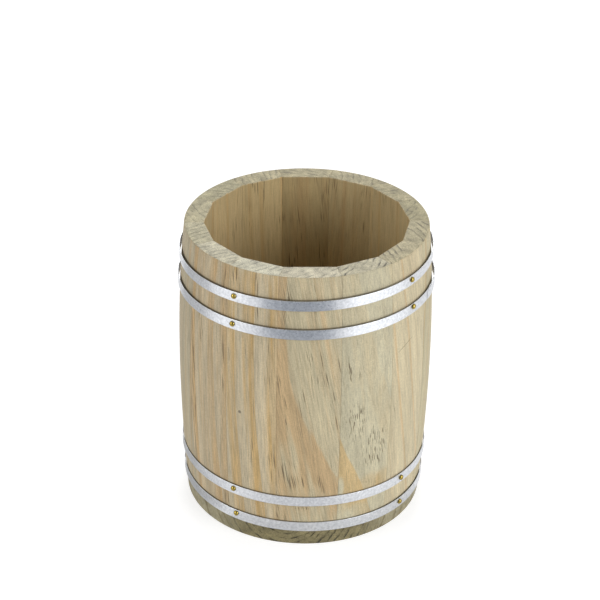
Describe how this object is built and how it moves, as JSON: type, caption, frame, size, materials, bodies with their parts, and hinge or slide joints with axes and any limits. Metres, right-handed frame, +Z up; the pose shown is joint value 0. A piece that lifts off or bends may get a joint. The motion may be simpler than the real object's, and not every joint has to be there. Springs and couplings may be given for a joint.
{
  "type": "miniature barrel",
  "caption": "Small open-topped barrel of glued wooden staves on a flat base disc, bound with nailed steel hoops; stands on a table as a holder for cutlery or small items.",
  "frame": {"origin": "middle of the underside, on the surface that the barrel stands on", "axes": "+Z up along the barrel's axis, towards the mouth; -Y is the front"},
  "size_m": [0.114, 0.1136, 0.135],
  "materials": {
    "pine_staves": "turned and sanded softwood, oiled, matt",
    "pine_base": "turned edge of a flat softwood board, matt, darker",
    "zinc_hoops": "galvanised strip, satin",
    "brass_nails": "polished dome heads"
  },
  "bodies": {
    "root": {"stave_01": "pine_staves", "stave_02": "pine_staves", "stave_03": "pine_staves", "stave_04": "pine_staves", "stave_05": "pine_staves", "stave_06": "pine_staves", "stave_07": "pine_staves", "stave_08": "pine_staves", "stave_09": "pine_staves", "stave_10": "pine_staves", "stave_11": "pine_staves", "stave_12": "pine_staves", "stave_13": "pine_staves", "stave_14": "pine_staves", "base": "pine_base", "hoop_1": "zinc_hoops", "hoop_2": "zinc_hoops", "hoop_3": "zinc_hoops", "hoop_4": "zinc_hoops", "nail_1_1": "brass_nails", "nail_1_2": "brass_nails", "nail_1_3": "brass_nails", "nail_1_4": "brass_nails", "nail_2_1": "brass_nails", "nail_2_2": "brass_nails", "nail_2_3": "brass_nails", "nail_2_4": "brass_nails", "nail_3_1": "brass_nails", "nail_3_2": "brass_nails", "nail_3_3": "brass_nails", "nail_3_4": "brass_nails", "nail_4_1": "brass_nails", "nail_4_2": "brass_nails", "nail_4_3": "brass_nails", "nail_4_4": "brass_nails"}
  },
  "joints": []
}
